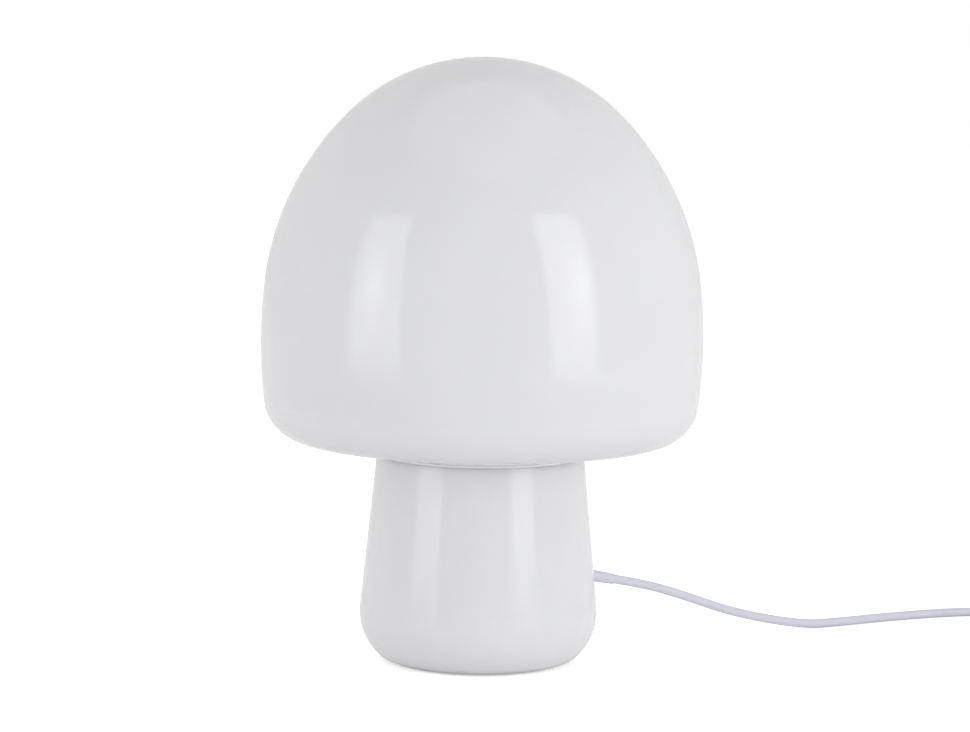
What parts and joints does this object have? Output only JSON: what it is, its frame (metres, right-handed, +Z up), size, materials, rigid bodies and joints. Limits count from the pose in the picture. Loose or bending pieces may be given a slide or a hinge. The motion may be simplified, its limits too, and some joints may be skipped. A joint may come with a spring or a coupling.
{
  "type": "table lamp",
  "caption": "Mushroom table lamp of opal glass: a domed cap that lifts off a tapered stem, lit by a screw-in bulb, with a cord, rocker switch and plug.",
  "frame": {"origin": "on the table, under the middle of the foot", "axes": "+Z up, -Y towards the front of the lamp; the cord leaves behind its right-hand side, towards +X and +Y"},
  "size_m": [0.5165, 0.2758, 0.34],
  "materials": {
    "opal_glass": "gloss",
    "soft_seat": "satin",
    "white_metal": "satin",
    "steel": "satin",
    "holder_plastic": "gloss",
    "insulator": "matte",
    "black_insulator": "satin",
    "brass": "satin",
    "nickel": "polished",
    "bulb_diffuser": "satin",
    "bulb_housing": "gloss",
    "circuit_board": "satin",
    "cord_sheath": "satin",
    "switch_plastic": "gloss",
    "live_insulation": "satin",
    "neutral_insulation": "satin"
  },
  "bodies": {
    "base": {"stem_shell": "opal_glass", "seat_collar": "soft_seat", "foot_ring": "soft_seat", "floor_washers": "soft_seat", "base_plate": "white_metal", "cover_plate": "white_metal", "tube_nuts": "steel", "centre_tube": "steel", "cord_inner": "cord_sheath", "cord_gland": "cord_sheath", "gland_nut": "cord_sheath", "holder_cup": "holder_plastic", "holder_skirt": "holder_plastic", "holder_block": "insulator", "socket_shell": "brass", "centre_contact": "brass", "terminal_screws": "nickel", "live_core": "live_insulation", "neutral_core": "neutral_insulation", "switch_base": "switch_plastic", "switch_cover": "switch_plastic", "switch_screws": "nickel", "switch_terminals": "brass", "switch_live_in": "live_insulation", "switch_live_out": "live_insulation", "switch_neutral": "neutral_insulation", "cord_lead": "cord_sheath", "cord_link": "cord_sheath", "cord_coil": "cord_sheath", "cord_tail": "cord_sheath", "plug_body": "cord_sheath", "plug_pins": "nickel"},
    "cap": {"cap_shade": "opal_glass"},
    "bulb_lift": {"bulb_tip": "nickel"},
    "bulb": {"bulb_insulator": "black_insulator", "bulb_shell": "nickel", "bulb_housing": "bulb_housing", "bulb_globe": "bulb_diffuser", "bulb_led_board": "circuit_board"},
    "rocker": {"switch_rocker": "switch_plastic", "rocker_contact": "brass"}
  },
  "joints": [
    {"name": "cap_lift", "type": "slide", "parent": "base", "child": "cap", "axis": [0, 0, 1], "range_m": [0, 0.15]},
    {"name": "bulb_rise", "type": "slide", "parent": "base", "child": "bulb_lift", "axis": [0, 0, 1], "range_m": [0, 0.0218]},
    {"name": "bulb_turn", "type": "hinge", "parent": "bulb_lift", "child": "bulb", "pos_m": [0, 0, 0.137], "axis": [0, 0, 1], "range_deg": [0, 2160]},
    {"name": "rocker_tilt", "type": "hinge", "parent": "base", "child": "rocker", "pos_m": [0.3614, 0.0724, 0.013], "axis": [-0.9848, -0.1736, 0], "range_deg": [0, 14]}
  ],
  "couplings": [
    {"joint": "bulb_rise", "follows": "bulb_turn", "m_per_rad": 0.0005776}
  ]
}
